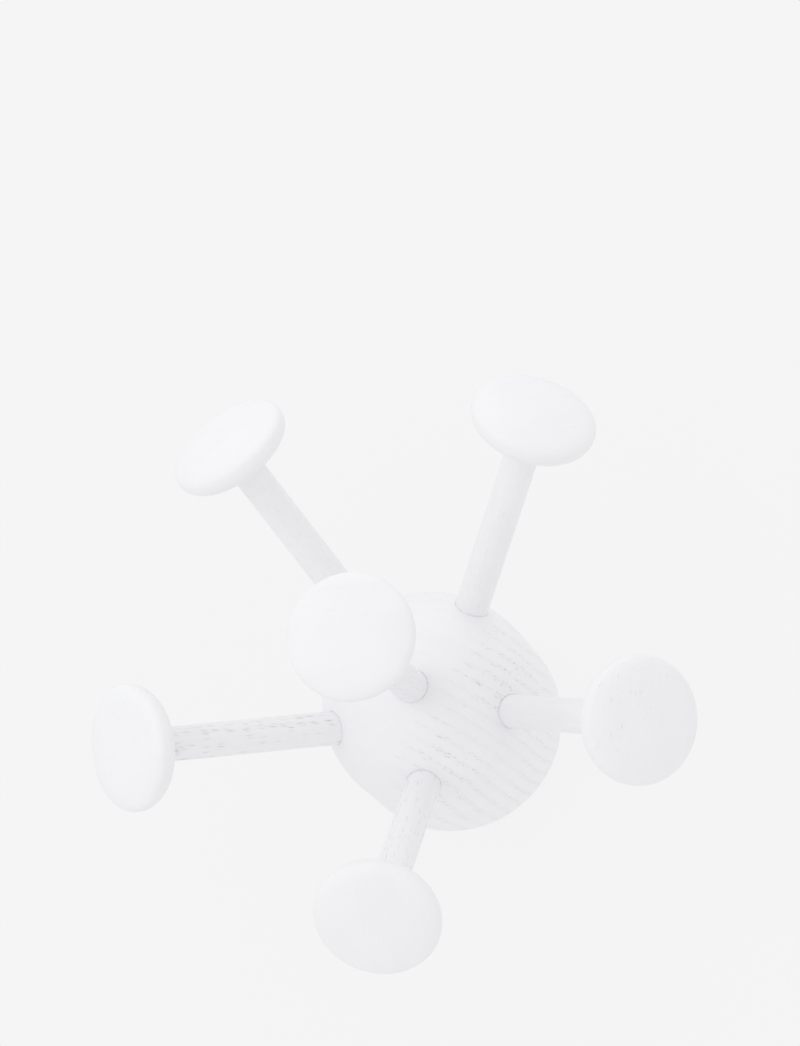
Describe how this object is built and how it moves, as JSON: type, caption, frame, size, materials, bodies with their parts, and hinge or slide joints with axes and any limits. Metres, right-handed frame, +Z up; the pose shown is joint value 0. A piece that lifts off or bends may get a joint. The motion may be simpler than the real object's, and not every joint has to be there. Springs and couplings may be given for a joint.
{
  "type": "wall coat rack",
  "caption": "Wall-mounted coat rack: a domed wooden hub with round pegs fanning out, each ending in a pebble-shaped knob, hung on keyhole plates at the back.",
  "frame": {"origin": "centre of the hub's flat back face, on the wall plane", "axes": "+Y points from the rack into the wall, so the front faces -Y; +Z is up; +X is to the right as seen from the front"},
  "size_m": [0.3169, 0.243, 0.3111],
  "materials": {
    "hub_ash": "white-pigmented open-pore ash, satin",
    "peg_ash": "white-pigmented open-pore ash, satin",
    "knob_ash": "white-pigmented open-pore ash, satin",
    "hanger_steel": "zinc-plated pressed sheet",
    "screw_steel": "zinc-plated"
  },
  "bodies": {
    "root": {"hub": "hub_ash", "peg_right": "peg_ash", "peg_upper_right": "peg_ash", "peg_upper_left": "peg_ash", "peg_left": "peg_ash", "peg_bottom": "peg_ash", "peg_centre": "peg_ash", "knob_right": "knob_ash", "knob_upper_right": "knob_ash", "knob_upper_left": "knob_ash", "knob_left": "knob_ash", "knob_bottom": "knob_ash", "knob_centre": "knob_ash", "hanger_plate_left": "hanger_steel", "hanger_plate_right": "hanger_steel", "hanger_screw_left_lower": "screw_steel", "hanger_screw_left_upper": "screw_steel", "hanger_screw_right_lower": "screw_steel", "hanger_screw_right_upper": "screw_steel"}
  },
  "joints": []
}
